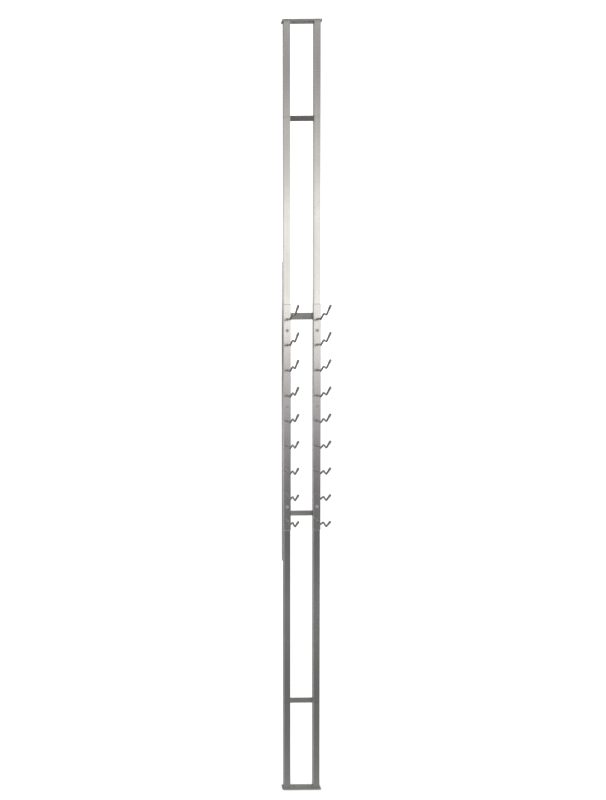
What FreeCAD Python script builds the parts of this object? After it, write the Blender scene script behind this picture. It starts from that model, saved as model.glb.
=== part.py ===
"""Floor-to-ceiling rack: two square-tube uprights joined by flat rungs between two end plates.
A channel strip with nine wavy rod hooks is screwed over the middle of each upright.

Units are millimetres. +Z is up, the hooks reach forwards along -Y, and the origin is the centre
of the bottom plate's underside. "Left" is -X and "right" is +X, as seen from the front.
"""
import FreeCAD, Part
import math
import os

V = FreeCAD.Vector

# Whole frame
HEIGHT = 3060.0              # floor face to ceiling face
UPRIGHT_X = 59.2             # centre of each upright, left and right of the middle
SIDES = {"left": -1, "right": 1}

# Square tube of the uprights
TUBE = 25.4
TUBE_WALL = 1.5
TUBE_CORNER = 1.6            # outside corner radius
TUBE_INSIDE_CORNER = 0.4

# End plates
PLATE_LENGTH = 155.0
PLATE_DEPTH = 30.0
PLATE_THICKNESS = 6.0
PLATE_CORNER = 2.0           # rounding of the four upright corners
FIXING_HOLE_R = 3.25
FIXING_HOLE_X = 30.0         # each fixing hole from the middle of its plate
FIXING_HOLE_BREAK = 0.6      # broken edge at the hole's mouth

# Rungs: flat bars near the back of the uprights, as (name, centre height, bar height)
RUNG_THICKNESS = 5.0
RUNG_BACK_INSET = 1.6        # back of the rung in from the back of the uprights
RUNG_EDGE = 0.5
RUNGS = [
    ("lower_rung", 362.0, 20.0),
    ("lower_middle_rung", 1131.0, 20.0),
    ("upper_middle_rung", 1919.0, 27.0),
    ("upper_rung", 2690.0, 20.0),
]

# Hook strips: channels folded from sheet, open at the back, slid over the uprights from the front
STRIP_SHEET = 1.5
STRIP_SIDE_GAP = 0.1         # between a flange and the upright
STRIP_DEPTH = 20.0           # front face to the back edge of the flanges
STRIP_BEND = 2.0             # outside bend radius
STRIP_INSIDE_BEND = 0.5
STRIP_END_CHAMFER = 1.2      # along the front edge of both ends
STRIP_BOTTOM = 1065.0
STRIP_LENGTH = 900.0

# Hooks: one bent rod each. Its centre line is given by corner points (forward of the strip, above
# the root), from the back of the strip's sheet to the outermost point of the tip.
HOOKS_PER_STRIP = 9
FIRST_HOOK_Z = 1105.0
HOOK_PITCH = 100.0
ROD_R = 3.6
ROD_HOLE_CLEARANCE = 0.1     # added to the rod's radius for its hole in the strip
HOOK_CORNERS = [(-STRIP_SHEET, 0), (34, 0), (53, -4), (98, 15), (138, 7), (195.5, 38.5)]
HOOK_BEND_RADII = [18.0, 20.0, 22.0, 24.0]
TIP_R = 4.6                  # the rod swells to a round bulb at its tip
TIP_TAPER_LENGTH = 20.0
TIP_BULB_LENGTH = 8.0
WELD_R = 5.5                 # weld ring round the root, on the strip's face
WELD_LENGTH = 1.6

# Strip screws: domed socket heads, each into a threaded insert in the upright's front wall
SCREWED_BELOW_HOOKS = [1, 5, 8]   # counted from the lowest hook, which is 0
SCREW_DROP = 44.0            # each screw below its hook
SCREW_HOLE_R = 3.3
SCREW_SHANK_R = 2.9
SCREW_LENGTH = 16.0
SCREW_END_BREAK = 0.6
SCREW_HEAD_R = 6.5
SCREW_HEAD_HEIGHT = 3.3
SCREW_HEAD_RIM = 0.7         # straight rim below the dome
SOCKET_ACROSS_FLATS = 4.0
SOCKET_DEPTH = 2.0
INSERT_R = 4.5
INSERT_HOLE_CLEARANCE = 0.05
INSERT_BORE_R = 2.95
INSERT_LENGTH = 14.5
INSERT_BULGE_R = 6.2         # bulge pulled up behind the wall
INSERT_BULGE_LENGTH = 2.5

# Bar behind the left upright: a rectangular tube as wide as the upright
BACK_BAR_DEPTH = 22.0
BACK_BAR_WALL = 1.5
BACK_BAR_BOTTOM = 935.0
BACK_BAR_LENGTH = 1200.0

# Places worked out from the sizes above
TUBE_FRONT_Y = -TUBE / 2
TUBE_BACK_Y = TUBE / 2
STRIP_FRONT_Y = TUBE_FRONT_Y - STRIP_SHEET
STRIP_WIDTH = TUBE + 2 * (STRIP_SIDE_GAP + STRIP_SHEET)
HOOK_HEIGHTS = [FIRST_HOOK_Z + HOOK_PITCH * i for i in range(HOOKS_PER_STRIP)]
SCREW_HEIGHTS = [HOOK_HEIGHTS[i] - SCREW_DROP for i in SCREWED_BELOW_HOOKS]
FORWARD = V(0, -1, 0)
BACKWARD = V(0, 1, 0)
UP = V(0, 0, 1)


def rounded_wire(points, radii, closed):
    """A wire through the corner points, each corner rounded by its radius."""
    points = [V(*p) for p in points]
    count = len(points)
    inner = range(count) if closed else range(1, count - 1)
    starts = {i: points[i] for i in range(count)}
    ends = dict(starts)
    arcs = {}
    for i, radius in zip(inner, radii):
        corner = points[i]
        back = (points[i - 1] - corner).normalize()
        ahead = (points[(i + 1) % count] - corner).normalize()
        half = back.getAngle(ahead) / 2
        reach = radius / math.tan(half)
        middle_way = (back + ahead).normalize()
        starts[i] = corner + back * reach
        ends[i] = corner + ahead * reach
        nearest = corner + middle_way * (radius / math.sin(half) - radius)
        arcs[i] = Part.Arc(starts[i], nearest, ends[i]).toShape()
    edges = []
    for i in range(count if closed else count - 1):
        following = (i + 1) % count
        if ends[i].distanceToPoint(starts[following]) > 1e-6:
            edges.append(Part.LineSegment(ends[i], starts[following]).toShape())
        if following in arcs:
            edges.append(arcs[following])
    return Part.Wire(Part.__sortEdges__(edges))


def rounded_rectangle(width, depth, corner, x, y, z):
    """A face in the XY plane, centred on x, y."""
    w, d = width / 2, depth / 2
    corners = [(x - w, y - d, z), (x + w, y - d, z), (x + w, y + d, z), (x - w, y + d, z)]
    return Part.Face(rounded_wire(corners, [corner] * 4, closed=True))


def rectangular_tube(width, depth, wall, x, y, bottom, length):
    outside = rounded_rectangle(width, depth, TUBE_CORNER, x, y, bottom)
    inside = rounded_rectangle(width - 2 * wall, depth - 2 * wall, TUBE_INSIDE_CORNER, x, y, bottom)
    return outside.extrude(UP * length).cut(inside.extrude(UP * length))


def cylinder(radius, length, start, axis):
    return Part.makeCylinder(radius, length, start, axis)


def upright(x):
    """Square tube with a hole in its front wall for each threaded insert."""
    tube = rectangular_tube(TUBE, TUBE, TUBE_WALL, x, 0, PLATE_THICKNESS, HEIGHT - 2 * PLATE_THICKNESS)
    for z in SCREW_HEIGHTS:
        hole_start = V(x, TUBE_FRONT_Y - 1, z)
        tube = tube.cut(cylinder(INSERT_R + INSERT_HOLE_CLEARANCE, TUBE_WALL + 2, hole_start, BACKWARD))
    return tube


def end_plate(bottom):
    """Flat bar across both uprights, with two plain fixing holes between them."""
    plate = rounded_rectangle(PLATE_LENGTH, PLATE_DEPTH, PLATE_CORNER, 0, 0, bottom)
    plate = plate.extrude(UP * PLATE_THICKNESS)
    top = bottom + PLATE_THICKNESS
    for x in (-FIXING_HOLE_X, FIXING_HOLE_X):
        plate = plate.cut(cylinder(FIXING_HOLE_R, PLATE_THICKNESS, V(x, 0, bottom), UP))
        wide, narrow = FIXING_HOLE_R + FIXING_HOLE_BREAK, FIXING_HOLE_R
        plate = plate.cut(Part.makeCone(wide, narrow, FIXING_HOLE_BREAK, V(x, 0, bottom), UP))
        plate = plate.cut(Part.makeCone(wide, narrow, FIXING_HOLE_BREAK, V(x, 0, top), -UP))
    return plate


def rung(centre_z, height):
    """Flat bar between the uprights, its long edges slightly rounded."""
    length = 2 * UPRIGHT_X - TUBE
    back = TUBE_BACK_Y - RUNG_BACK_INSET
    front = back - RUNG_THICKNESS
    low, high = centre_z - height / 2, centre_z + height / 2
    x = -length / 2
    corners = [(x, front, low), (x, back, low), (x, back, high), (x, front, high)]
    section = Part.Face(rounded_wire(corners, [RUNG_EDGE] * 4, closed=True))
    return section.extrude(V(length, 0, 0))


def hook_strip(x):
    """Folded channel over the upright's front, its ends dressed, with a hole for each rod and screw."""
    w = STRIP_WIDTH / 2
    inside_w = w - STRIP_SHEET
    back = STRIP_FRONT_Y + STRIP_DEPTH
    web_back = STRIP_FRONT_Y + STRIP_SHEET
    z = STRIP_BOTTOM
    outline = [
        (x - w, back, z), (x - w, STRIP_FRONT_Y, z), (x + w, STRIP_FRONT_Y, z), (x + w, back, z),
        (x + inside_w, back, z), (x + inside_w, web_back, z),
        (x - inside_w, web_back, z), (x - inside_w, back, z),
    ]
    edge = 0.2
    radii = [edge, STRIP_BEND, STRIP_BEND, edge, edge, STRIP_INSIDE_BEND, STRIP_INSIDE_BEND, edge]
    strip = Part.Face(rounded_wire(outline, radii, closed=True)).extrude(UP * STRIP_LENGTH)
    for end, inwards in ((z, 1), (z + STRIP_LENGTH, -1)):
        corner = V(x - w - 1, STRIP_FRONT_Y, end)
        reach = STRIP_END_CHAMFER
        wedge = Part.makePolygon([
            corner + V(0, -1, -inwards), corner + V(0, -1, inwards * (reach + 1)),
            corner + V(0, reach + 1, -inwards), corner + V(0, -1, -inwards)])
        strip = strip.cut(Part.Face(wedge).extrude(V(STRIP_WIDTH + 2, 0, 0)))
    holes = [(z, ROD_R + ROD_HOLE_CLEARANCE) for z in HOOK_HEIGHTS]
    holes += [(z, SCREW_HOLE_R) for z in SCREW_HEIGHTS]
    for hole_z, radius in holes:
        start = V(x, STRIP_FRONT_Y - 1, hole_z)
        strip = strip.cut(cylinder(radius, STRIP_SHEET + 2, start, BACKWARD))
    return strip


def hook(x, root_z):
    """Wavy rod, fixed to the strip by a weld ring at its root and swollen to a bulb at its tip."""
    points = [V(x, STRIP_FRONT_Y - forward, root_z + rise) for forward, rise in HOOK_CORNERS]
    along = (points[-1] - points[-2]).normalize()
    taper_start = points[-1] - along * (TIP_TAPER_LENGTH + TIP_BULB_LENGTH + TIP_R)
    path = rounded_wire(points[:-1] + [taper_start], HOOK_BEND_RADII, closed=False)
    profile = Part.Wire(Part.makeCircle(ROD_R, points[0], FORWARD))
    rod = path.makePipeShell([profile], True, False)
    taper = Part.makeCone(ROD_R, TIP_R, TIP_TAPER_LENGTH, taper_start, along)
    bulb_start = taper_start + along * TIP_TAPER_LENGTH
    bulb = cylinder(TIP_R, TIP_BULB_LENGTH, bulb_start, along)
    dome = Part.makeSphere(TIP_R, bulb_start + along * TIP_BULB_LENGTH)
    weld = Part.makeCone(WELD_R, ROD_R, WELD_LENGTH, V(x, STRIP_FRONT_Y, root_z), FORWARD)
    return rod.multiFuse([taper, bulb, dome, weld]).removeSplitter()


def turned(edges, origin):
    """Solid turned about the line through the origin along -Y, from edges in the XY plane."""
    solid = Part.Face(Part.Wire(edges)).revolve(V(0, 0, 0), BACKWARD, 360)
    solid.translate(origin)
    return Part.Solid(solid.Shells[0])


def polyline(points):
    """Straight edges through (radius, forward) points."""
    points = [V(radius, -forward, 0) for radius, forward in points]
    return [Part.LineSegment(a, b).toShape() for a, b in zip(points, points[1:])]


def strip_screw(x, z):
    """Domed socket-head screw, its head against the strip's face and its shank pointing back."""
    face = V(x, STRIP_FRONT_Y, z)
    dome_height = SCREW_HEAD_HEIGHT - SCREW_HEAD_RIM
    dome_r = (SCREW_HEAD_R ** 2 + dome_height ** 2) / (2 * dome_height)
    half_way = math.asin(SCREW_HEAD_R / dome_r) / 2
    dome_centre = SCREW_HEAD_HEIGHT - dome_r
    middle = V(dome_r * math.sin(half_way), -dome_centre - dome_r * math.cos(half_way), 0)
    rim_point, top_point = (SCREW_HEAD_R, SCREW_HEAD_RIM), (0, SCREW_HEAD_HEIGHT)
    dome = Part.Arc(V(rim_point[0], -rim_point[1], 0), middle, V(0, -SCREW_HEAD_HEIGHT, 0)).toShape()
    end = -SCREW_LENGTH
    lower = polyline([
        (0, end), (SCREW_SHANK_R - SCREW_END_BREAK, end), (SCREW_SHANK_R, end + SCREW_END_BREAK),
        (SCREW_SHANK_R, 0), (SCREW_HEAD_R, 0), rim_point,
    ])
    screw = turned(lower + [dome] + polyline([top_point, (0, end)]), face)
    socket_r = SOCKET_ACROSS_FLATS / math.sqrt(3)
    top = face + FORWARD * SCREW_HEAD_HEIGHT
    turns = [math.radians(60 * i) for i in range(7)]
    hexagon = Part.makePolygon([top + V(socket_r * math.cos(a), 0, socket_r * math.sin(a)) for a in turns])
    return screw.cut(Part.Face(hexagon).extrude(BACKWARD * SOCKET_DEPTH))


def threaded_insert(x, z):
    """Blind-fitted insert, flush with the upright's front face and bulged behind its wall."""
    front = V(x, TUBE_FRONT_Y, z)
    body = cylinder(INSERT_R, INSERT_LENGTH, front, BACKWARD)
    bulge_start = front + BACKWARD * TUBE_WALL
    bulge = cylinder(INSERT_BULGE_R, INSERT_BULGE_LENGTH, bulge_start, BACKWARD)
    bore = cylinder(INSERT_BORE_R, INSERT_LENGTH, front, BACKWARD)
    return body.fuse(bulge).cut(bore).removeSplitter()


def back_bar():
    x = -UPRIGHT_X
    y = TUBE_BACK_Y + BACK_BAR_DEPTH / 2
    return rectangular_tube(TUBE, BACK_BAR_DEPTH, BACK_BAR_WALL, x, y, BACK_BAR_BOTTOM, BACK_BAR_LENGTH)


def build():
    """Every piece of the rack, by node name."""
    pieces = {
        "bottom_plate": end_plate(0),
        "top_plate": end_plate(HEIGHT - PLATE_THICKNESS),
        "back_bar": back_bar(),
    }
    for name, centre_z, height in RUNGS:
        pieces[name] = rung(centre_z, height)
    for side, sign in SIDES.items():
        x = sign * UPRIGHT_X
        pieces[f"{side}_upright"] = upright(x)
        pieces[f"{side}_hook_strip"] = hook_strip(x)
        for number, z in enumerate(HOOK_HEIGHTS, start=1):
            pieces[f"{side}_hook_{number}"] = hook(x, z)
        for number, z in enumerate(SCREW_HEIGHTS, start=1):
            pieces[f"{side}_strip_screw_{number}"] = strip_screw(x, z)
            pieces[f"{side}_threaded_insert_{number}"] = threaded_insert(x, z)
    return pieces


def main():
    os.makedirs("parts", exist_ok=True)
    for name, shape in build().items():
        if not shape.isValid() or len(shape.Solids) != 1:
            raise ValueError(f"{name}: valid {shape.isValid()}, solids {len(shape.Solids)}")
        shape.exportStep(os.path.join("parts", f"{name}.step"))
        print(f"{name}: {shape.Volume / 1000:.2f} cm3")


if __name__ == "__main__":
    main()
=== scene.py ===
"""Looks of a floor-to-ceiling hook rack in brushed steel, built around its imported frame.

The uprights, plates, rungs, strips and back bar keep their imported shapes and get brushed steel
finishes. The bent rods, their welds, the screws and the frame's weld beads are modelled here.
Lengths are metres, +Z is up and the hooks reach forwards along -Y.
"""
import logging
import math
from dataclasses import dataclass, field
from enum import Enum
from typing import Callable, Iterator

import bmesh
import bpy
from mathutils import Matrix, Vector


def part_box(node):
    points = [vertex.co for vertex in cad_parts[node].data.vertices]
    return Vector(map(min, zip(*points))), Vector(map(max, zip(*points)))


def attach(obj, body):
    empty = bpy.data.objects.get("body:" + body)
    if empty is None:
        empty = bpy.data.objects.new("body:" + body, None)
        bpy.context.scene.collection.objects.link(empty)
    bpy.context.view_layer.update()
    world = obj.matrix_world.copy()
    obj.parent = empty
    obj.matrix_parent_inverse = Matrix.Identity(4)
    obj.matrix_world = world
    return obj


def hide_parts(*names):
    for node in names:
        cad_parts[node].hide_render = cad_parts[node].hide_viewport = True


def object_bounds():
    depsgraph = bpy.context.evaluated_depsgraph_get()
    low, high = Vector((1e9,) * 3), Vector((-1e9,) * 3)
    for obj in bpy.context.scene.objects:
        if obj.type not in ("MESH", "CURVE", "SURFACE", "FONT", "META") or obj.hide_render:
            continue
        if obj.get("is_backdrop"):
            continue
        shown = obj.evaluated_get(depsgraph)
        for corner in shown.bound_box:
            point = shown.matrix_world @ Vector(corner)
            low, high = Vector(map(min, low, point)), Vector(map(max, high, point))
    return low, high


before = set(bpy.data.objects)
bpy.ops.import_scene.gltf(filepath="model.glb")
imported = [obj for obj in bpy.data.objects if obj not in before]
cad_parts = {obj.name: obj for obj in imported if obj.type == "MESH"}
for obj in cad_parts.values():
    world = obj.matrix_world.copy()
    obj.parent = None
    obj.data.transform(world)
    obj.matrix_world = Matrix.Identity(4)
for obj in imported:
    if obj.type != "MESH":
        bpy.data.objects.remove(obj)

log = logging.getLogger("hook_rack")

BODY = "root"
MERGE_GAP = 1e-6
BACKWARD = Vector((0.0, 1.0, 0.0))
FORWARD = Vector((0.0, -1.0, 0.0))
UP = Vector((0.0, 0.0, 1.0))
ACROSS = Vector((1.0, 0.0, 0.0))

Colour = tuple[float, float, float]
Bands = tuple[tuple[float, float, Colour], ...]
NEUTRAL: Colour = (1.0, 1.0, 1.0)
IVORY: Colour = (1.01, 1.0, 0.955)
CREAM: Colour = (1.01, 1.0, 0.935)
PINK: Colour = (1.04, 1.0, 0.985)
MAUVE: Colour = (1.05, 1.0, 1.06)


def tinted(tint: Colour, *pairs: tuple[float, float]) -> Bands:
    """Give pairs of elevation and brightness one tint."""
    return tuple((angle, light, tint) for angle, light in pairs)


UNDERFOOT: Bands = tinted(NEUTRAL, (-90.0, 0.40), (-80.0, 2.50), (-72.0, 2.50), (-64.0, 0.30))


class Side(Enum):
    """The two uprights, as seen from the front."""

    LEFT = "left"
    RIGHT = "right"


class Grain(Enum):
    """The way a brushed surface's lines run, as the scale along each axis."""

    UPWARDS = (1.0, 1.0, 0.012)
    SIDEWAYS = (0.012, 1.0, 1.0)
    TURNED = (1.0, 0.05, 1.0)


class Ring(Enum):
    """The axis that a finish's stretched highlights go round."""

    ABOUT_X = "X"
    ABOUT_Y = "Y"
    ABOUT_Z = "Z"


# ---- modelling by operators


def put_down_tools() -> None:
    """Leave edit mode and deselect everything."""
    if bpy.context.mode != "OBJECT":
        bpy.ops.object.mode_set(mode="OBJECT")
    bpy.ops.object.select_all(action="DESELECT")


def take_up(piece: bpy.types.Object) -> None:
    """Make one piece the only selected and active object."""
    put_down_tools()
    piece.select_set(True)
    bpy.context.view_layer.objects.active = piece


def pick(piece: bpy.types.Object, wanted: Callable[[Vector], bool]) -> None:
    """Select the vertices of a piece in edit mode by their place.

    Args:
        piece: The piece that is open in edit mode.
        wanted: Says whether a vertex at this place is selected.
    """
    bpy.ops.mesh.select_mode(type="VERT")
    bpy.ops.mesh.select_all(action="DESELECT")
    mesh = bmesh.from_edit_mesh(piece.data)
    for vertex in mesh.verts:
        if wanted(vertex.co):
            vertex.select_set(True)
    mesh.select_flush(True)
    bmesh.update_edit_mesh(piece.data)


def close_up(piece: bpy.types.Object, smooth_below: float = 40.0) -> bpy.types.Object:
    """Merge doubles, turn all faces outwards and shade a finished piece.

    Args:
        piece: The piece, in edit mode or not.
        smooth_below: Edges flatter than this many degrees are shaded smooth.

    Returns:
        The same piece, in object mode, with its place in its mesh.
    """
    take_up(piece)
    bpy.ops.object.mode_set(mode="EDIT")
    bpy.ops.mesh.select_all(action="SELECT")
    bpy.ops.mesh.remove_doubles(threshold=MERGE_GAP)
    bpy.ops.mesh.normals_make_consistent(inside=False)
    bpy.ops.object.mode_set(mode="OBJECT")
    bpy.ops.object.transform_apply(location=True, rotation=True, scale=True)
    bpy.ops.object.shade_smooth_by_angle(angle=math.radians(smooth_below))
    put_down_tools()
    return piece


def repeat(piece: bpy.types.Object, name: str, offset: Vector) -> bpy.types.Object:
    """Copy a piece with its own mesh and move the copy's mesh.

    Args:
        piece: The finished piece.
        name: The copy's name.
        offset: How far the copy lies from the piece.

    Returns:
        The copy, with its object at the origin.
    """
    copy = piece.copy()
    copy.data = piece.data.copy()
    copy.name = copy.data.name = name
    copy.data.transform(Matrix.Translation(offset))
    bpy.context.scene.collection.objects.link(copy)
    return copy


@dataclass
class Drawn:
    """A round section drawn along a line by edit-mode operators, as stock is fed and bent.

    Args:
        name: The piece's name.
        radius: The section's radius.
        sides: Vertices round the section.
        centre: Where the section starts.
        heading: The way it is first fed.
    """

    name: str
    radius: float
    sides: int
    centre: Vector
    heading: Vector
    piece: bpy.types.Object = field(init=False)

    def __post_init__(self) -> None:
        """Add the first section and open it in edit mode."""
        put_down_tools()
        turn = self.heading.to_track_quat("Z", "X").to_euler()
        bpy.ops.mesh.primitive_circle_add(
            vertices=self.sides, radius=self.radius, fill_type="NOTHING",
            location=self.centre, rotation=turn)
        self.piece = bpy.context.object
        self.piece.name = self.piece.data.name = self.name
        bpy.ops.object.transform_apply(location=True, rotation=True, scale=True)
        bpy.ops.object.mode_set(mode="EDIT")
        bpy.ops.mesh.select_all(action="SELECT")

    def close_start(self) -> None:
        """Fill the first section with a face and keep its ring selected."""
        bpy.ops.mesh.edge_face_add()
        bpy.ops.mesh.select_mode(type="EDGE")
        bpy.ops.mesh.region_to_loop()
        bpy.ops.mesh.select_mode(type="VERT")

    def feed(self, length: float, radius: float | None = None) -> None:
        """Extrude the last section straight on.

        Args:
            length: How far it is fed.
            radius: The new section's radius, if it changes.
        """
        step = self.heading * length
        bpy.ops.mesh.extrude_region_move(TRANSFORM_OT_translate={"value": step})
        self.centre = self.centre + step
        if radius is not None:
            self.swell(radius)

    def swell(self, radius: float) -> None:
        """Bring the last section to another radius."""
        factor = radius / self.radius
        bpy.ops.transform.resize(value=(factor,) * 3, center_override=self.centre)
        self.radius = radius

    def bend(self, turn: float, radius: float, axis: Vector, step: float) -> None:
        """Spin the last section round a bend.

        Args:
            turn: The bend's angle in radians, right-handed about the axis.
            radius: The centre line's bend radius.
            axis: The bend's axis.
            step: The largest angle between two sections, in radians.
        """
        axis = axis if turn > 0 else -axis
        turn = abs(turn)
        middle = self.centre + axis.cross(self.heading) * radius
        bpy.ops.mesh.spin(
            steps=max(2, math.ceil(turn / step)), angle=-turn, center=middle, axis=axis)
        turned = Matrix.Rotation(turn, 3, axis)
        self.centre = middle + turned @ (self.centre - middle)
        self.heading = (turned @ self.heading).normalized()

    def close_end(self) -> None:
        """Draw the last section together to a closed pole."""
        bpy.ops.mesh.merge(type="CENTER")


# ---- node building


@dataclass
class Bench:
    """Adds and joins the nodes of one node tree."""

    tree: bpy.types.NodeTree

    def add(self, kind: str, **settings: object) -> bpy.types.Node:
        """Add a node and set its properties.

        Args:
            kind: The node's type, without the ShaderNode in front.
            settings: The node's properties by name.

        Returns:
            The node.
        """
        node = self.tree.nodes.new("ShaderNode" + kind)
        for name, value in settings.items():
            setattr(node, name, value)
        return node

    def feed(self, socket: bpy.types.NodeSocket, value: object) -> None:
        """Join a socket to another, or set its own value."""
        if isinstance(value, bpy.types.NodeSocket):
            self.tree.links.new(value, socket)
        elif socket.type == "RGBA":
            socket.default_value = (*value[:3], 1.0)
        else:
            socket.default_value = value

    def maths(self, operation: str, *values: object, clamp: bool = False) -> bpy.types.NodeSocket:
        """Add a Math node.

        Args:
            operation: The node's operation.
            values: Its inputs, as numbers or sockets.
            clamp: Whether the result is kept between 0 and 1.

        Returns:
            Its result.
        """
        node = self.add("Math", operation=operation, use_clamp=clamp)
        for socket, value in zip(node.inputs, values):
            self.feed(socket, value)
        return node.outputs[0]

    def weigh(self, first: object, share: float, second: object,
              other: float) -> bpy.types.NodeSocket:
        """Add two values, each times its share."""
        return self.maths("ADD", self.maths("MULTIPLY", first, share),
                          self.maths("MULTIPLY", second, other))

    def spread(self, value: object, low: float, high: float, to_low: float,
               to_high: float) -> bpy.types.NodeSocket:
        """Map a value from one range to another, clamped and smooth."""
        node = self.add("MapRange", interpolation_type="SMOOTHSTEP")
        for name, number in zip(("Value", "From Min", "From Max", "To Min", "To Max"),
                                (value, low, high, to_low, to_high)):
            self.feed(node.inputs[name], number)
        return node.outputs["Result"]

    def noise(self, vector: object, scale: object, detail: float = 2.0,
              roughness: float = 0.5) -> bpy.types.NodeSocket:
        """Add a noise texture and return its value."""
        node = self.add("TexNoise")
        for name, value in (("Vector", vector), ("Scale", scale), ("Detail", detail),
                            ("Roughness", roughness)):
            self.feed(node.inputs[name], value)
        return node.outputs["Fac"]

    def blend(self, amount: object, first: object, second: object,
              mode: str = "MIX") -> bpy.types.NodeSocket:
        """Mix two colours by an amount."""
        node = self.add("Mix", data_type="RGBA", blend_type=mode)
        self.feed(node.inputs[0], amount)
        self.feed(node.inputs[6], first)
        self.feed(node.inputs[7], second)
        return node.outputs[2]

    def ramp(self, value: object, stops: tuple, smooth: bool = False) -> bpy.types.NodeSocket:
        """Add a colour ramp.

        Args:
            value: What picks the colour.
            stops: Each stop as (place, colour).
            smooth: Whether the colours ease into each other.

        Returns:
            The colour.
        """
        node = self.add("ValToRGB")
        node.color_ramp.interpolation = "EASE" if smooth else "LINEAR"
        elements = node.color_ramp.elements
        while len(elements) < len(stops):
            elements.new(0.5)
        for element, (place, colour) in zip(elements, stops):
            element.position = place
            element.color = (*colour, 1.0)
        self.feed(node.inputs["Fac"], value)
        return node.outputs["Color"]


def new_group(name: str, inputs: dict, outputs: dict) -> tuple[Bench, dict, dict]:
    """Start a shader node group.

    Args:
        name: The group's name.
        inputs: Each input's name and its default value: a number, or None for a vector.
        outputs: Each output's name and its kind: Float, Color or Vector.

    Returns:
        The group's bench, its input sockets and its output sockets, by name.
    """
    tree = bpy.data.node_groups.new(name, "ShaderNodeTree")
    for label, value in inputs.items():
        kind = "NodeSocketVector" if value is None else "NodeSocketFloat"
        socket = tree.interface.new_socket(name=label, in_out="INPUT", socket_type=kind)
        if value is not None:
            socket.default_value = value
    for label, kind in outputs.items():
        tree.interface.new_socket(
            name=label, in_out="OUTPUT", socket_type="NodeSocket" + kind)
    start = tree.nodes.new("NodeGroupInput")
    end = tree.nodes.new("NodeGroupOutput")
    return Bench(tree), dict(start.outputs.items()), dict(end.inputs.items())


def brushing_group() -> bpy.types.NodeTree:
    """Build the lines that a brushing belt leaves.

    Returns:
        A group that takes a stretched Place and gives Height, Lines and Bands.
    """
    bench, given, out = new_group(
        "Brushed lines", {"Place": None, "Fineness": 2400.0, "Band Scale": 130.0},
        {"Height": "Float", "Lines": "Float", "Bands": "Float"})
    fine = bench.noise(given["Place"], given["Fineness"], 3.0, 0.7)
    broad = bench.noise(given["Place"], bench.maths("MULTIPLY", given["Fineness"], 0.23), 2.0)
    lines = bench.weigh(fine, 0.6, broad, 0.4)
    bands = bench.noise(given["Place"], given["Band Scale"], 2.0, 0.6)
    bench.feed(out["Height"], lines)
    bench.feed(out["Lines"], bench.spread(lines, 0.36, 0.64, 0.0, 1.0))
    bench.feed(out["Bands"], bench.spread(bands, 0.34, 0.66, 0.0, 1.0))
    return bench.tree


def handling_group() -> bpy.types.NodeTree:
    """Build the dull patches and wiped marks of handled steel.

    Returns:
        A group that takes a Place and gives Patches and Specks.
    """
    bench, given, out = new_group(
        "Handling marks", {"Place": None, "Patch Scale": 9.0},
        {"Patches": "Float", "Specks": "Float"})
    wide = bench.noise(given["Place"], given["Patch Scale"], 3.0, 0.55)
    small = bench.noise(given["Place"], bench.maths("MULTIPLY", given["Patch Scale"], 7.3), 4.0,
                        0.6)
    both = bench.weigh(wide, 0.65, small, 0.35)
    specks = bench.noise(given["Place"], bench.maths("MULTIPLY", given["Patch Scale"], 95.0), 1.0)
    bench.feed(out["Patches"], bench.spread(both, 0.36, 0.64, 0.0, 1.0))
    bench.feed(out["Specks"], bench.spread(specks, 0.66, 0.76, 0.0, 1.0))
    return bench.tree


def edge_group() -> bpy.types.NodeTree:
    """Build the bright, rubbed line along edges.

    Returns:
        A group that takes a Place and a Width and gives Rubbed and a rounded Normal.
    """
    bench, given, out = new_group(
        "Rubbed edges", {"Place": None, "Width": 0.0008},
        {"Rubbed": "Float", "Normal": "Vector"})
    rounded = bench.add("Bevel", samples=4)
    bench.feed(rounded.inputs["Radius"], given["Width"])
    flat = bench.add("NewGeometry")
    meet = bench.add("VectorMath", operation="DOT_PRODUCT")
    bench.feed(meet.inputs[0], rounded.outputs["Normal"])
    bench.feed(meet.inputs[1], flat.outputs["Normal"])
    worn = bench.spread(meet.outputs["Value"], 0.985, 0.86, 0.0, 1.0)
    broken = bench.spread(bench.noise(given["Place"], 160.0, 3.0), 0.3, 0.6, 0.35, 1.0)
    bench.feed(out["Rubbed"], bench.maths("MULTIPLY", worn, broken))
    bench.feed(out["Normal"], rounded.outputs["Normal"])
    return bench.tree


def heat_group() -> bpy.types.NodeTree:
    """Build the straw and plum tint that welding heat leaves.

    Returns:
        A group that takes the Distance from a weld and a Reach and gives Tint and Amount.
    """
    bench, given, out = new_group(
        "Heat tint", {"Place": None, "Distance": 1.0, "Reach": 0.012},
        {"Tint": "Color", "Amount": "Float"})
    wander = bench.maths("MULTIPLY", bench.noise(given["Place"], 210.0, 2.0), 0.5)
    share = bench.maths("DIVIDE", given["Distance"], given["Reach"])
    share = bench.maths("ADD", bench.maths("SUBTRACT", share, 0.25), wander, clamp=True)
    bench.feed(out["Tint"], bench.ramp(share, (
        (0.0, (0.42, 0.40, 0.39)), (0.3, (0.44, 0.44, 0.48)),
        (0.5, (0.53, 0.47, 0.47)), (0.8, (0.64, 0.58, 0.49)))))
    bench.feed(out["Amount"], bench.spread(share, 1.0, 0.35, 0.0, 1.0))
    return bench.tree


# ---- finishes


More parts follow.
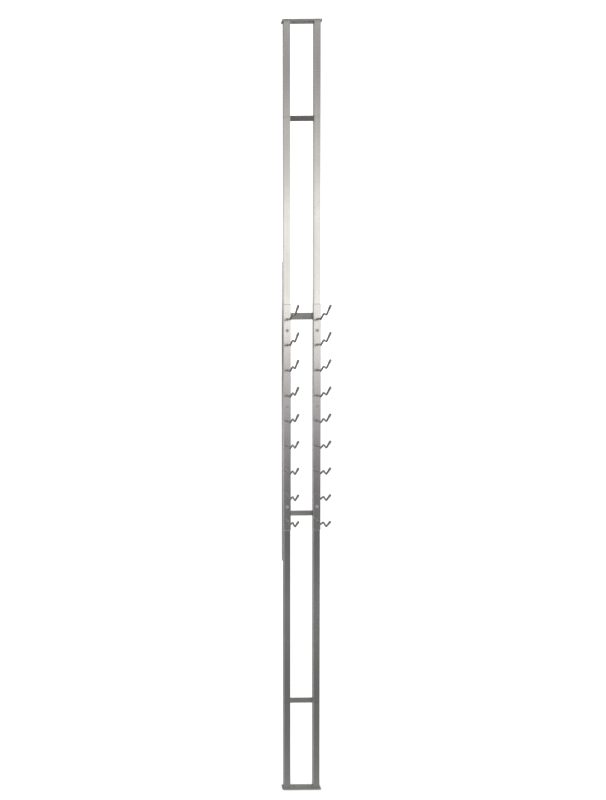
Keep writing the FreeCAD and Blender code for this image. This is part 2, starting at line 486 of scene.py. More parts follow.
@dataclass
class Start:
    """A new material with its bench, its shader and its object coordinates."""

    name: str
    colour: Colour
    made: bpy.types.Material = field(init=False)
    bench: Bench = field(init=False)
    shader: bpy.types.ShaderNode = field(init=False)
    place: bpy.types.NodeSocket = field(init=False)

    def __post_init__(self) -> None:
        """Add the material and its first nodes."""
        self.made = bpy.data.materials.new(self.name)
        self.made.use_nodes = True
        self.made.diffuse_color = (*self.colour, 1.0)
        self.bench = Bench(self.made.node_tree)
        self.shader = self.made.node_tree.nodes["Principled BSDF"]
        self.place = self.bench.add("TexCoord").outputs["Object"]


@dataclass
class Effects:
    """The shared node groups, each built once."""

    brushing: bpy.types.NodeTree = field(default_factory=brushing_group)
    handling: bpy.types.NodeTree = field(default_factory=handling_group)
    edges: bpy.types.NodeTree = field(default_factory=edge_group)
    heat: bpy.types.NodeTree = field(default_factory=heat_group)


@dataclass(frozen=True)
class HeatMarks:
    """Where welding has tinted a piece.

    Args:
        rows: Heights of welds that cross the piece.
        columns: Distances of welds from the rack's middle, left and right.
        pitch: If above zero, the single row repeats at this spacing.
        reach: How far the tint spreads.
        strength: How strongly it shows, from 0 to 1.
    """

    rows: tuple[float, ...] = ()
    columns: tuple[float, ...] = ()
    pitch: float = 0.0
    reach: float = 0.012
    strength: float = 0.5

    def distance(self, bench: Bench, place: bpy.types.NodeSocket) -> bpy.types.NodeSocket:
        """Wire the distance from the nearest weld.

        Args:
            bench: The material's bench.
            place: Object coordinates.

        Returns:
            The distance in metres.
        """
        parts = bench.add("SeparateXYZ")
        bench.feed(parts.inputs[0], place)
        aside = bench.maths("ABSOLUTE", parts.outputs["X"])
        if self.pitch > 0.0:
            away = bench.maths("SUBTRACT", parts.outputs["Z"], self.rows[0])
            away = bench.maths("WRAP", away, self.pitch / 2, -self.pitch / 2)
            reach = bench.maths("SUBTRACT", aside, self.columns[0])
            return bench.maths("SQRT", bench.maths("ADD", bench.maths("MULTIPLY", away, away),
                                                   bench.maths("MULTIPLY", reach, reach)))
        nearest: object = 1.0
        for source, places in ((parts.outputs["Z"], self.rows), (aside, self.columns)):
            for at in places:
                away = bench.maths("ABSOLUTE", bench.maths("SUBTRACT", source, at))
                nearest = bench.maths("MINIMUM", nearest, away)
        return nearest


@dataclass(frozen=True)
class BrushedSteel:
    """Brushed or drawn steel with handling marks, rubbed edges and heat tint.

    Args:
        name: The material's name.
        colour, dull: The bare steel, and the steel in its duller bands and patches.
        roughness, unevenness: Roughness between lines, and how much it varies.
        anisotropy: How far highlights stretch across the lines.
        grain: The way the lines run.
        ring: The axis that stretched highlights go round.
        line_depth, fineness: Depth of the lines, and lines to the metre.
        edge_width: Width of the rubbed edge, or 0 for none.
        bareness: How far it shines as bare metal.
        heat: Where it is heat-tinted, if anywhere.
        band_share, patch_share: How far bands and patches dull it.
        dark_share: Brightness of lines and specks, against the dull steel.
        line_strength, speck_strength, rub_strength: How strongly each mark shows.
        rub_gain: Brightness of rubbed edges, against the bare steel.
    """

    name: str
    colour: Colour
    dull: Colour
    roughness: float
    unevenness: float
    anisotropy: float
    grain: Grain
    ring: Ring
    line_depth: float = 0.000004
    fineness: float = 2400.0
    edge_width: float = 0.0008
    bareness: float = 1.0
    heat: HeatMarks | None = None
    band_share: float = 0.45
    patch_share: float = 0.55
    dark_share: float = 0.72
    line_strength: float = 0.16
    speck_strength: float = 0.35
    rub_strength: float = 0.60
    rub_gain: float = 1.18

    def material(self, effects: Effects) -> bpy.types.Material:
        """Build the material.

        Args:
            effects: The shared node groups.

        Returns:
            The material.
        """
        start = Start(self.name, self.colour)
        bench, shader, place = start.bench, start.shader, start.place
        stretched = bench.add("Mapping")
        bench.feed(stretched.inputs["Vector"], place)
        stretched.inputs["Scale"].default_value = self.grain.value
        lines = bench.add("Group", node_tree=effects.brushing)
        bench.feed(lines.inputs["Place"], stretched.outputs["Vector"])
        lines.inputs["Fineness"].default_value = self.fineness
        marks = bench.add("Group", node_tree=effects.handling)
        bench.feed(marks.inputs["Place"], place)

        dullness = bench.weigh(lines.outputs["Bands"], self.band_share,
                               marks.outputs["Patches"], self.patch_share)
        colour = bench.blend(dullness, self.colour, self.dull)
        dark = tuple(self.dark_share * part for part in self.dull)
        for source, strength in ((lines.outputs["Lines"], self.line_strength),
                                 (marks.outputs["Specks"], self.speck_strength)):
            colour = bench.blend(bench.maths("MULTIPLY", source, strength), colour, dark)
        rough = bench.maths("MULTIPLY", bench.weigh(
            lines.outputs["Lines"], 0.4, marks.outputs["Patches"], 0.6), self.unevenness)
        rough = bench.maths("ADD", rough, self.roughness)
        if self.heat is not None:
            tint = bench.add("Group", node_tree=effects.heat)
            bench.feed(tint.inputs["Place"], place)
            bench.feed(tint.inputs["Distance"], self.heat.distance(bench, place))
            tint.inputs["Reach"].default_value = self.heat.reach
            amount = bench.maths("MULTIPLY", tint.outputs["Amount"], self.heat.strength)
            colour = bench.blend(amount, colour, tint.outputs["Tint"])
            rough = bench.maths("ADD", rough, bench.maths("MULTIPLY", amount, 0.08))
        bump = bench.add("Bump")
        if self.edge_width > 0.0:
            rubbed = bench.add("Group", node_tree=effects.edges)
            bench.feed(rubbed.inputs["Place"], place)
            rubbed.inputs["Width"].default_value = self.edge_width
            bright = tuple(min(1.0, self.rub_gain * part) for part in self.colour)
            colour = bench.blend(bench.maths(
                "MULTIPLY", rubbed.outputs["Rubbed"], self.rub_strength), colour, bright)
            rough = bench.maths("SUBTRACT", rough, bench.maths(
                "MULTIPLY", rubbed.outputs["Rubbed"], 0.06))
            bench.feed(bump.inputs["Normal"], rubbed.outputs["Normal"])
        bench.feed(bump.inputs["Height"], lines.outputs["Height"])
        bump.inputs["Distance"].default_value = self.line_depth
        tangent = bench.add("Tangent", direction_type="RADIAL", axis=self.ring.value)
        bench.feed(shader.inputs["Base Color"], colour)
        bench.feed(shader.inputs["Roughness"], rough)
        bench.feed(shader.inputs["Normal"], bump.outputs["Normal"])
        bench.feed(shader.inputs["Tangent"], tangent.outputs["Tangent"])
        shader.inputs["Metallic"].default_value = self.bareness
        shader.inputs["Anisotropic"].default_value = self.anisotropy
        return start.made


@dataclass(frozen=True)
class WeldMetal:
    """Rippled weld metal, brushed bright on its crests and tinted in its valleys.

    Args:
        name: The material's name.
        crest: Colour of the crests.
        valley: Colour of the valleys and of the straw tint.
        roughness: Roughness of the crests.
    """

    name: str
    crest: Colour
    valley: Colour
    roughness: float

    def material(self, effects: Effects) -> bpy.types.Material:
        """Build the material from the shared marks."""
        start = Start(self.name, self.crest)
        bench, shader, place = start.bench, start.shader, start.place
        marks = bench.add("Group", node_tree=effects.handling)
        bench.feed(marks.inputs["Place"], place)
        marks.inputs["Patch Scale"].default_value = 120.0
        tone = bench.noise(place, 650.0, 3.0)
        colour = bench.blend(marks.outputs["Patches"], self.crest, self.valley)
        colour = bench.blend(bench.maths("MULTIPLY", marks.outputs["Specks"], 0.5), colour,
                             tuple(0.5 * part for part in self.valley))
        bench.feed(shader.inputs["Base Color"], colour)
        bench.feed(shader.inputs["Roughness"], bench.spread(
            tone, 0.3, 0.7, self.roughness, self.roughness + 0.16))
        bump = bench.add("Bump")
        bench.feed(bump.inputs["Height"], tone)
        bump.inputs["Distance"].default_value = 0.00006
        bench.feed(shader.inputs["Normal"], bump.outputs["Normal"])
        shader.inputs["Metallic"].default_value = 1.0
        return start.made


class Finishes:
    """Every finish on the rack, by its slot."""

    def __init__(self) -> None:
        """Build the shared effects and each material."""
        effects = Effects()
        rung_rows = tuple(round((low.z + high.z) / 2, 4) for low, high in map(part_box, RUNGS))
        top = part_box("top_plate")[0].z
        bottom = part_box("bottom_plate")[1].z
        rung_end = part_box("upper_rung")[1].x
        strip_low, strip_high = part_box("right_hook_strip")
        hook_column = (strip_low.x + strip_high.x) / 2
        steel = (0.605, 0.600, 0.594)
        dull = (0.535, 0.530, 0.524)
        rung_heat = HeatMarks(columns=(rung_end,), reach=0.012, strength=0.15)
        self.by_slot: dict[str, bpy.types.Material] = {}
        for slot, finish in {
            "upright_steel": BrushedSteel(
                "Upright brushed steel", steel, dull, 0.19, 0.06, 0.80, Grain.UPWARDS,
                Ring.ABOUT_Z, heat=HeatMarks(rows=(bottom, top) + rung_rows, reach=0.014,
                                             strength=0.35)),
            # Round each hook root the strip darkens: partly weld heat tint, partly painted shade
            # where the rod's root shades the strip.
            "strip_steel": BrushedSteel(
                "Strip brushed steel", steel, dull, 0.23, 0.05, 0.80, Grain.UPWARDS,
                Ring.ABOUT_Z, fineness=2900.0, heat=HeatMarks(
                    rows=(strip_low.z + HOOK_RISE,), columns=(hook_column,), pitch=HOOK_PITCH,
                    reach=0.008, strength=0.15)),
            "rung_steel": BrushedSteel(
                "Rung brushed steel", (0.43, 0.425, 0.415), (0.35, 0.345, 0.335), 0.36, 0.08,
                0.80, Grain.SIDEWAYS, Ring.ABOUT_X, heat=rung_heat),
            # The plates' steel is darker than the uprights': painted shade that keeps their top
            # faces dark under the bright band they reflect.
            "plate_steel": BrushedSteel(
                "Plate brushed steel", (0.53, 0.525, 0.52), (0.46, 0.455, 0.45), 0.38, 0.08,
                0.75, Grain.SIDEWAYS, Ring.ABOUT_X,
                heat=HeatMarks(columns=(hook_column,), reach=0.024, strength=0.25)),
            "rod_steel": BrushedSteel(
                "Drawn rod steel", (0.36, 0.355, 0.347), (0.29, 0.285, 0.277), 0.22,
                0.10, 0.0, Grain.TURNED, Ring.ABOUT_Y, fineness=1500.0, edge_width=0.0),
            "fastener_steel": BrushedSteel(
                "Plated screw steel", (0.34, 0.338, 0.331), (0.30, 0.297, 0.291), 0.60,
                0.09, 0.0, Grain.TURNED, Ring.ABOUT_Y, fineness=3200.0, edge_width=0.0003,
                bareness=0.22),
            "insert_steel": BrushedSteel(
                "Plated insert steel", (0.62, 0.60, 0.55), (0.50, 0.47, 0.40), 0.30,
                0.10, 0.0, Grain.TURNED, Ring.ABOUT_Y, fineness=1800.0, edge_width=0.0),
        }.items():
            self.by_slot[slot] = finish.material(effects)
        # The upper rung gets its own darker copy of the rung steel: painted shade for the dimmer
        # light it reflects at the top of the rack.
        self.by_node = {"upper_rung": BrushedSteel(
            "Upper rung painted shade steel", (0.23, 0.228, 0.222), (0.19, 0.187, 0.182), 0.36, 0.08, 0.80,
            Grain.SIDEWAYS, Ring.ABOUT_X, heat=rung_heat).material(effects)}
        self.weld = WeldMetal(
            "Weld bead metal", (0.62, 0.61, 0.60), (0.50, 0.48, 0.46), 0.30).material(effects)

    def dress_frame(self) -> None:
        """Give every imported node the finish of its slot, or its own where it has one."""
        for name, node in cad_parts.items():
            for held in node.material_slots:
                slot = held.material.name.split(".")[0]
                held.material = self.by_node.get(name, self.by_slot[slot])

    def dress(self, piece: bpy.types.Object, slot: str, weld: bool = False) -> None:
        """Put a new piece on the body, give it its slot's material and log its slot.

        Args:
            piece: The new piece.
            slot: The slot whose finish it takes.
            weld: Whether it is weld metal rather than the slot's own finish.
        """
        piece.data.materials.clear()
        piece.data.materials.append(self.weld if weld else self.by_slot[slot])
        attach(piece, BODY)
        log.info("%s: %s, %d faces", piece.name, slot, len(piece.data.polygons))


# ---- the pieces

HOOK_RISE = 0.040    # the lowest hook's root above the strip's bottom end
HOOK_PITCH = 0.100
RUNGS = ("lower_rung", "lower_middle_rung", "upper_middle_rung", "upper_rung")


def at_every(node_kind: str, count: int, piece: bpy.types.Object,
             piece_kind: str) -> Iterator[tuple[str, bpy.types.Object]]:
    """Repeat the lowest left piece of a kind at every node it belongs to.

    The first is handed over before it is copied, so the copies carry its marks.

    Args:
        node_kind: The nodes' name between side and number.
        count: How many there are on each side.
        piece: The piece at the first node on the left.
        piece_kind: The pieces' name between side and number.

    Yields:
        Each node's name with its piece.
    """
    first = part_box(f"{Side.LEFT.value}_{node_kind}_1")[0]
    for side in Side:
        for number in range(1, count + 1):
            node = f"{side.value}_{node_kind}_{number}"
            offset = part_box(node)[0] - first
            yield node, piece if offset.length <= MERGE_GAP else repeat(
                piece, f"{side.value}_{piece_kind}_{number}", offset)


@dataclass
class HookRods:
    """The bent rods of both strips, each welded at its root.

    The corners of the rod's centre line are (forward of the strip, above the root), from the
    back of the strip's sheet to the end of the tip.
    """

    per_strip: int = 9
    rod_radius: float = 0.0036
    sides: int = 24
    corners: tuple[tuple[float, float], ...] = (
        (-0.0015, 0.0), (0.034, 0.0), (0.053, -0.004), (0.098, 0.015), (0.138, 0.007),
        (0.1955, 0.0385))
    bend_radii: tuple[float, ...] = (0.018, 0.020, 0.022, 0.024)
    bend_step: float = math.radians(4.0)
    tip_radius: float = 0.0046
    tip_taper: float = 0.020
    taper_rings: int = 8
    bulb_length: float = 0.008
    dome_rings: int = 7
    weld_line_radius: float = 0.0042
    weld_bead_radius: float = 0.0013
    weld_ripples: int = 26
    ripple_depth: float = 0.00014
    pole_radius: float = 0.0002

    def rod(self, name: str, root: Vector) -> bpy.types.Object:
        """Feed and bend one rod, and round its tip.

        Args:
            name: The piece's name.
            root: The middle of the root, on the strip's face.

        Returns:
            The rod.
        """
        points = [Vector((0.0, -forward, height)) for forward, height in self.corners]
        drawn = Drawn(name, self.rod_radius, self.sides, root + points[0], FORWARD.copy())
        drawn.close_start()
        spare = 0.0
        for before, corner, after, radius in zip(points, points[1:], points[2:],
                                                 self.bend_radii):
            run, onward = corner - before, (after - corner).normalized()
            turn = run.angle(onward)
            if run.cross(onward).x < 0.0:
                turn = -turn
            reach = radius * math.tan(abs(turn) / 2)
            drawn.feed(run.length - spare - reach)
            drawn.bend(turn, radius, ACROSS, self.bend_step)
            spare = reach
        last = (points[-1] - points[-2]).length - spare
        drawn.feed(last - self.tip_taper - self.bulb_length - self.tip_radius)
        for ring in range(1, self.taper_rings + 1):
            eased = 0.5 - 0.5 * math.cos(math.pi * ring / self.taper_rings)
            drawn.feed(self.tip_taper / self.taper_rings,
                       self.rod_radius + eased * (self.tip_radius - self.rod_radius))
        drawn.feed(self.bulb_length)
        gone = 0.0
        for ring in range(1, self.dome_rings):
            angle = math.pi / 2 * ring / self.dome_rings
            along = self.tip_radius * math.sin(angle)
            drawn.feed(along - gone, self.tip_radius * math.cos(angle))
            gone = along
        drawn.feed(self.tip_radius - gone, self.pole_radius)
        drawn.close_end()
        return close_up(drawn.piece, 60.0)

    def weld(self, name: str, root: Vector) -> bpy.types.Object:
        """Spin a rippled bead round a rod's root.

        Args:
            name: The piece's name.
            root: The middle of the root, on the strip's face.

        Returns:
            The bead.
        """
        start = root + ACROSS * self.weld_line_radius
        drawn = Drawn(name, self.weld_bead_radius, 12, start, UP.copy())
        bpy.ops.mesh.spin(steps=2 * self.weld_ripples, angle=math.tau, center=root,
                          axis=BACKWARD)
        bpy.ops.mesh.select_all(action="SELECT")
        bpy.ops.mesh.remove_doubles(threshold=MERGE_GAP)
        bpy.ops.mesh.normals_make_consistent(inside=False)
        half_step = math.pi / self.weld_ripples

        def in_valley(place: Vector) -> bool:
            """Say whether a vertex lies on every second ring."""
            around = math.atan2(place.z - root.z, place.x - root.x) % math.tau
            return round(around / half_step) % 2 == 1

        pick(drawn.piece, in_valley)
        bpy.ops.transform.shrink_fatten(value=-self.ripple_depth)
        return close_up(drawn.piece, 75.0)

    def build(self, finishes: Finishes) -> None:
        """Model one rod and its weld, and repeat them at every hook.

        Args:
            finishes: The rack's finishes.
        """
        low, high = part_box("left_hook_strip")
        root = Vector(((low.x + high.x) / 2, low.y, low.z + HOOK_RISE))
        rod = self.rod("left_hook_rod_1", root)
        weld = self.weld("left_hook_weld_1", root)
        for node, placed in at_every("hook", self.per_strip, rod, "hook_rod"):
            finishes.dress(placed, "rod_steel")
            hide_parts(node)
        for _, placed in at_every("hook", self.per_strip, weld, "hook_weld"):
            finishes.dress(placed, "rod_steel", weld=True)


@dataclass
class StripScrews:
    """The domed socket screws through the strips."""

    per_strip: int = 3
    head_radius: float = 0.0065
    head_height: float = 0.0033
    rim: float = 0.0007
    dome_rings: int = 7
    across_flats: float = 0.004
    socket_depth: float = 0.002
    socket_break: float = 0.00018
    shank_radius: float = 0.0029
    shank_length: float = 0.016
    end_break: float = 0.0006
    mouth_land: float = 0.0003
    drill_point: float = 0.12
    sides: int = 48

    def screw(self, name: str, seat: Vector) -> bpy.types.Object:
        """Model one screw from the end of its shank to its socket.

        Args:
            name: The piece's name.
            seat: The middle of the head's underside.

        Returns:
            The screw.
        """
        end = seat + BACKWARD * self.shank_length
        drawn = Drawn(name, self.shank_radius - self.end_break, self.sides, end, FORWARD.copy())
        drawn.close_start()
        drawn.feed(self.end_break, self.shank_radius)
        drawn.feed(self.shank_length - self.end_break)
        drawn.feed(0.0, self.head_radius)
        drawn.feed(self.rim)
        mouth = self.across_flats / math.sqrt(3.0) + self.mouth_land
        rise = self.head_height - self.rim
        ball = (self.head_radius ** 2 + rise ** 2) / (2 * rise)
        gone = 0.0
        for ring in range(1, self.dome_rings + 1):
            radius = self.head_radius + (mouth - self.head_radius) * ring / self.dome_rings
            along = math.sqrt(ball ** 2 - radius ** 2) - (ball - rise)
            drawn.feed(along - gone, radius)
            gone = along
        self.cut_socket(drawn)
        return close_up(drawn.piece, 35.0)

    def cut_socket(self, drawn: Drawn) -> None:
        """Join the dome to a hexagon, and sink it into the head.

        Args:
            drawn: The screw, with the dome's last ring selected.
        """
        piece, rim_y = drawn.piece, drawn.centre.y
        hexagon = Drawn("socket_outline", self.across_flats / math.sqrt(3.0), 6, drawn.centre,
                        FORWARD.copy())
        bpy.ops.mesh.subdivide(number_cuts=self.sides // 6 - 1)
        take_up(piece)
        hexagon.piece.select_set(True)
        bpy.ops.object.join()
        bpy.ops.object.mode_set(mode="EDIT")
        pick(piece, lambda place: abs(place.y - rim_y) < MERGE_GAP)
        bpy.ops.mesh.bridge_edge_loops()
        axis = drawn.centre
        inner = self.across_flats / math.sqrt(3.0) + MERGE_GAP * 20
        pick(piece, lambda place: abs(place.y - rim_y) < MERGE_GAP and math.hypot(
            place.x - axis.x, place.z - axis.z) < inner)
        lip = (self.across_flats / 2 - self.socket_break) / (self.across_flats / 2)
        bpy.ops.mesh.extrude_region_move(TRANSFORM_OT_translate={
            "value": BACKWARD * self.socket_break})
        bpy.ops.transform.resize(value=(lip, 1.0, lip),
                                 center_override=axis + BACKWARD * self.socket_break)
        bpy.ops.mesh.extrude_region_move(TRANSFORM_OT_translate={
            "value": BACKWARD * (self.socket_depth - self.socket_break)})
        bpy.ops.mesh.extrude_region_move(TRANSFORM_OT_translate={
            "value": BACKWARD * self.across_flats * self.drill_point})
        bpy.ops.mesh.merge(type="CENTER")

    def build(self, finishes: Finishes) -> None:
        """Model one screw and repeat it at every place.

        Args:
            finishes: The rack's finishes.
        """
        low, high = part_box("left_strip_screw_1")
        seat = Vector(((low.x + high.x) / 2, low.y + self.head_height, (low.z + high.z) / 2))
        screw = self.screw("left_socket_screw_1", seat)
        for node, placed in at_every("strip_screw", self.per_strip, screw, "socket_screw"):
            finishes.dress(placed, "fastener_steel")
            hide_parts(node)


@dataclass
class FrameWelds:
    """The weld beads at the rungs' ends, the uprights' ends and the back bar."""

    rung_bead: float = 0.0012
    rung_corner: float = 0.0014
    post_bead: float = 0.0015
    post_corner: float = 0.0016
    ripple_pitch: float = 0.0011
    valley_share: float = 0.84
    stitch_bead: float = 0.0014
    stitch_length: float = 0.030
    stitches: int = 4
    stitch_inset: float = 0.040
    stitch_end: float = 0.7
    stitch_point: float = 0.4
    stitch_sink: float = 0.35
    sides: int = 12

    def side_run(self, drawn: Drawn, length: float, bead: float) -> None:
        """Feed a bead straight on with a ripple at every pitch.

        Args:
            drawn: The bead.
            length: How far it is fed.
            bead: The crests' radius.
        """
        ripples = max(1, round(length / self.ripple_pitch))
        for _ in range(ripples):
            drawn.feed(length / ripples / 2, bead * self.valley_share)
            drawn.feed(length / ripples / 2, bead)

    def loop(self, name: str, centre: Vector, along: Vector, wide: float, over: Vector,
             deep: float, bead: float, corner: float) -> bpy.types.Object:
        """Run a bead round a rectangle and join its ends.

        Args:
            name: The piece's name.
            centre: The rectangle's middle.
            along, wide: The way the first side runs, and its length.
            over, deep: The way the second side runs, and its length.
            bead, corner: Radius of the bead, and of its centre line at the corners.

        Returns:
            The bead.
        """
        axis = along.cross(over)
        start = centre - over * (deep / 2)
        drawn = Drawn(name, bead, self.sides, start, along.copy())
        halves = (wide / 2 - corner, deep - 2 * corner, wide - 2 * corner, deep - 2 * corner,
                  wide / 2 - corner)
        for place, length in enumerate(halves):
            self.side_run(drawn, length, bead)
            if place < 4:
                drawn.bend(math.pi / 2, corner, axis, math.radians(18.0))
        return close_up(drawn.piece, 75.0)

    def stitch(self, name: str, start: Vector) -> bpy.types.Object:
        """Run a short upright bead with drawn-in ends.

        Args:
            name: The piece's name.
            start: The bead's lower end.

        Returns:
            The bead.
        """
        end, point = self.stitch_bead * self.stitch_end, self.stitch_bead * self.stitch_point
        drawn = Drawn(name, point, self.sides, start, UP.copy())
        drawn.close_start()
        drawn.feed(end, self.stitch_bead)
        self.side_run(drawn, self.stitch_length - 2 * end, self.stitch_bead)
        drawn.feed(end, point)
        drawn.close_end()
        return close_up(drawn.piece, 75.0)

    def build_rungs(self, finishes: Finishes) -> None:
        """Weld each rung's two ends to the uprights."""
        for rung in RUNGS:
            low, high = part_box(rung)
            centre = (low + high) / 2
            left = Vector((low.x, centre.y, centre.z))
            bead = self.loop(f"{rung}_left_weld", left, UP, high.z - low.z, BACKWARD,
                             high.y - low.y, self.rung_bead, self.rung_corner)
            other = repeat(bead, f"{rung}_right_weld", Vector((high.x - low.x, 0.0, 0.0)))
            for piece in (bead, other):
                finishes.dress(piece, "rung_steel", weld=True)

    def build_posts(self, finishes: Finishes) -> None:
        """Weld each upright to the two end plates."""
        low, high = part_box("left_upright")
        foot = Vector(((low.x + high.x) / 2, (low.y + high.y) / 2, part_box("bottom_plate")[1].z))
        bead = self.loop("left_upright_foot_weld", foot, ACROSS, high.x - low.x, BACKWARD,
                         high.y - low.y, self.post_bead, self.post_corner)
        rise = UP * (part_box("top_plate")[0].z - foot.z)
        aside = ACROSS * (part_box("right_upright")[0].x - low.x)
        pieces = [bead, repeat(bead, "left_upright_head_weld", rise),
                  repeat(bead, "right_upright_foot_weld", aside),
                  repeat(bead, "right_upright_head_weld", aside + rise)]
        for piece in pieces:
            finishes.dress(piece, "plate_steel", weld=True)

    def build_stitches(self, finishes: Finishes) -> None:
        """Stitch the back bar to the upright along both seams."""
        low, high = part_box("back_bar")
        reach = high.z - low.z - 2 * self.stitch_inset - self.stitch_length
        sunk = self.stitch_bead * self.stitch_sink
        seam = Vector((low.x + sunk, low.y, low.z + self.stitch_inset))
        first = self.stitch("back_bar_left_stitch_1", seam)
        across = ACROSS * (high.x - low.x - 2 * sunk)
        for number in range(self.stitches):
            rise = UP * (reach * number / (self.stitches - 1))
            left = first if number == 0 else repeat(
                first, f"back_bar_left_stitch_{number + 1}", rise)
            right = repeat(first, f"back_bar_right_stitch_{number + 1}", rise + across)
            for piece in (left, right):
                finishes.dress(piece, "upright_steel", weld=True)

    def build(self, finishes: Finishes) -> None:
        """Make every bead of the frame."""
        self.build_rungs(finishes)
        self.build_posts(finishes)
        self.build_stitches(finishes)


# ---- floor, light and camera


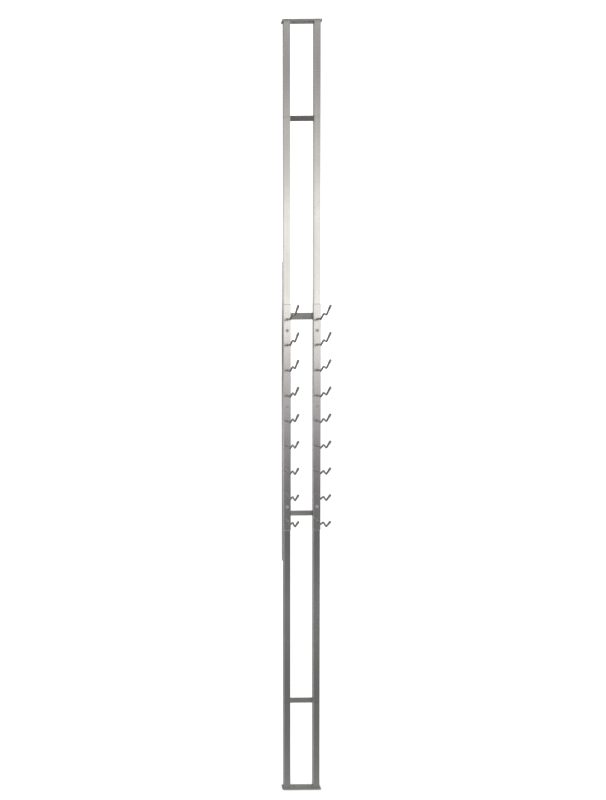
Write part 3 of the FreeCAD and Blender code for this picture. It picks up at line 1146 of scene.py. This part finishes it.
@dataclass
class Studio:
    """A plain pale floor in a soft white room, and the camera.

    Reflections see the room banded by height, each band being (elevation in degrees, brightness,
    tint), with a tall panel behind on the left and a bright wall on the left side.
    """

    floor_size: float = 200.0
    floor_colour: Colour = (0.90, 0.90, 0.90)
    room_white: float = 1.35
    gain: float = 2.5
    front_bands: Bands = (
        UNDERFOOT
        + tinted(NEUTRAL, (-38.0, 0.30), (-30.4, 0.46), (-28.3, 0.17), (-26.4, 0.34),
                 (-24.5, 0.14), (-21.0, 0.36), (-17.0, 0.31), (-13.0, 0.17))
        + tinted(MAUVE, (-9.5, 0.27), (-6.5, 0.38), (-4.0, 0.64))
        + tinted(PINK, (-1.5, 0.72), (1.0, 0.94), (2.5, 1.70))
        + tinted(CREAM, (4.2, 2.20), (7.2, 0.94), (10.8, 1.95))
        + tinted(IVORY, (14.3, 0.92), (18.6, 0.86), (20.4, 0.60), (21.8, 0.20), (24.5, 0.85))
        + tinted(NEUTRAL, (28.0, 0.70), (33.0, 0.12), (90.0, 0.10)))
    back_bands: Bands = (
        UNDERFOOT
        + tinted(NEUTRAL, (-26.0, 0.46), (-17.0, 0.13), (-5.0, 0.13), (3.0, 0.18), (9.0, 0.80))
        + tinted(IVORY, (14.0, 1.20), (24.0, 1.10), (31.0, 0.40))
        + tinted(NEUTRAL, (60.0, 0.30), (90.0, 0.18)))
    panel_bands: Bands = (
        UNDERFOOT
        + tinted(NEUTRAL, (-30.0, 0.50), (-24.5, 0.31), (-20.0, 0.38), (-13.0, 0.42))
        + tinted(MAUVE, (-5.0, 0.74))
        + tinted(NEUTRAL, (1.0, 0.30), (3.0, 0.34), (5.2, 1.20), (10.0, 1.02))
        + tinted(IVORY, (15.0, 0.66), (18.0, 0.40), (20.0, 0.26))
        + tinted(NEUTRAL, (60.0, 0.20)))
    panel_way: float = -0.21
    panel_width: tuple[float, float] = (0.10, 0.20)
    left_bands: Bands = (
        UNDERFOOT
        + tinted(NEUTRAL, (-30.0, 0.70), (-4.0, 1.15))
        + tinted(IVORY, (9.0, 1.10), (17.0, 0.45))
        + tinted(NEUTRAL, (55.0, 0.25), (90.0, 0.18)))
    left_way: float = -1.60
    left_width: tuple[float, float] = (0.70, 1.05)
    key_place: tuple[float, float, float] = (-1.9, -2.3, 4.4)
    key_aim: tuple[float, float, float] = (0.0, 0.0, 1.3)
    key_size: float = 1.8
    key_power: float = 40.0
    camera_place: tuple[float, float, float] = (-0.646, -2.808, 1.728)
    camera_drop: float = 2.75
    camera_roll: float = -0.6
    lens: float = 31.8
    shift: float = 0.205

    def build_floor(self) -> None:
        """Lay the floor at the rack's foot, with a faint roller texture in its paint."""
        put_down_tools()
        bpy.ops.mesh.primitive_plane_add(size=self.floor_size)
        floor = bpy.context.object
        floor.name = "studio_floor"
        floor.visible_glossy = False
        paint = Start("Pale floor paint", self.floor_colour)
        paint.bench.feed(paint.shader.inputs["Base Color"], self.floor_colour)
        paint.shader.inputs["Specular IOR Level"].default_value = 0.2
        grain = paint.bench.noise(paint.place, 40.0, 3.0)
        paint.bench.feed(paint.shader.inputs["Roughness"],
                         paint.bench.spread(grain, 0.3, 0.7, 0.8, 0.9))
        floor.data.materials.append(paint.made)
        floor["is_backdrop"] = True

    def build_room(self) -> None:
        """Wire the room's light: plain white to look at, banded in reflections."""
        world = bpy.data.worlds.new("Studio room")
        bpy.context.scene.world = world
        world.use_nodes = True
        bench = Bench(world.node_tree)
        background = world.node_tree.nodes["Background"]
        way = bench.add("SeparateXYZ")
        bench.feed(way.inputs[0], bench.add("TexCoord").outputs["Generated"])
        rise = bench.maths("ADD", bench.maths(
            "DIVIDE", bench.maths("ARCSINE", way.outputs["Z"]), math.pi), 0.5)

        def banded(bands: Bands) -> bpy.types.NodeSocket:
            """Turn bands into one ramp over the height."""
            return bench.ramp(rise, tuple(
                ((angle + 90.0) / 180.0, tuple(part * light / self.gain for part in tint))
                for angle, light, tint in bands))

        def within(middle: float, width: tuple[float, float]) -> bpy.types.NodeSocket:
            """Give 1 near one way round the room, easing to 0 outside the width."""
            off = bench.maths("ABSOLUTE", bench.maths("SUBTRACT", round_way, middle))
            return bench.spread(off, *width, 1.0, 0.0)

        round_way = bench.maths("ARCTAN2", way.outputs["X"], way.outputs["Y"])
        behind = bench.spread(way.outputs["Y"], -0.3, 0.3, 0.0, 1.0)
        bands = bench.blend(behind, banded(self.front_bands), banded(self.back_bands))
        bands = bench.blend(within(self.panel_way, self.panel_width), bands,
                            banded(self.panel_bands))
        bands = bench.blend(within(self.left_way, self.left_width), bands,
                            banded(self.left_bands))
        path = bench.add("LightPath")
        seen = bench.maths("MAXIMUM", path.outputs["Is Camera Ray"],
                           path.outputs["Is Diffuse Ray"])
        white = self.room_white / self.gain
        bench.feed(background.inputs["Color"], bench.blend(seen, bands, (white,) * 3))
        background.inputs["Strength"].default_value = self.gain

    def build_key(self) -> None:
        """Hang one large soft light high on the left."""
        lamp = bpy.data.lights.new("Key light", "AREA")
        lamp.shape, lamp.size, lamp.energy = "SQUARE", self.key_size, self.key_power
        holder = bpy.data.objects.new("Key light", lamp)
        bpy.context.scene.collection.objects.link(holder)
        holder.location = self.key_place
        holder.visible_glossy = False
        aim = Vector(self.key_aim) - Vector(self.key_place)
        holder.rotation_euler = aim.to_track_quat("-Z", "Y").to_euler()

    def build_camera(self) -> None:
        """Set up the camera at standing height, a little left of the rack."""
        data = bpy.data.cameras.new("Camera")
        data.sensor_width = 36.0
        data.lens, data.shift_x = self.lens, self.shift
        data.clip_start, data.clip_end = 0.05, 400.0
        camera = bpy.data.objects.new("Camera", data)
        bpy.context.scene.collection.objects.link(camera)
        camera.matrix_world = (
            Matrix.Translation(self.camera_place)
            @ Matrix.Rotation(math.radians(90.0 - self.camera_drop), 4, "X")
            @ Matrix.Rotation(math.radians(self.camera_roll), 4, "Z"))
        bpy.context.scene.camera = camera

    def build(self) -> None:
        """Build the floor, the room, the key light and the camera."""
        self.build_floor()
        self.build_room()
        self.build_key()
        self.build_camera()
        bpy.context.scene.view_settings.view_transform = "Standard"
        log.info("studio: floor, room, key light and camera")


def corners(box: tuple) -> list[list[float]]:
    """Turn a box's two corners into plain lists."""
    return [[float(part) for part in corner] for corner in box]


def main() -> None:
    """Build the rack's finishes, its modelled pieces and the studio."""
    logging.basicConfig(level=logging.INFO, format="%(name)s: %(message)s")
    cad_box = corners(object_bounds())
    finishes = Finishes()
    finishes.dress_frame()
    log.info("finishes: %d slots", len(finishes.by_slot))
    HookRods().build(finishes)
    StripScrews().build(finishes)
    FrameWelds().build(finishes)
    Studio().build()
    {"cad": cad_box, "visual": corners(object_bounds())}


if __name__ == "__main__":
    main()
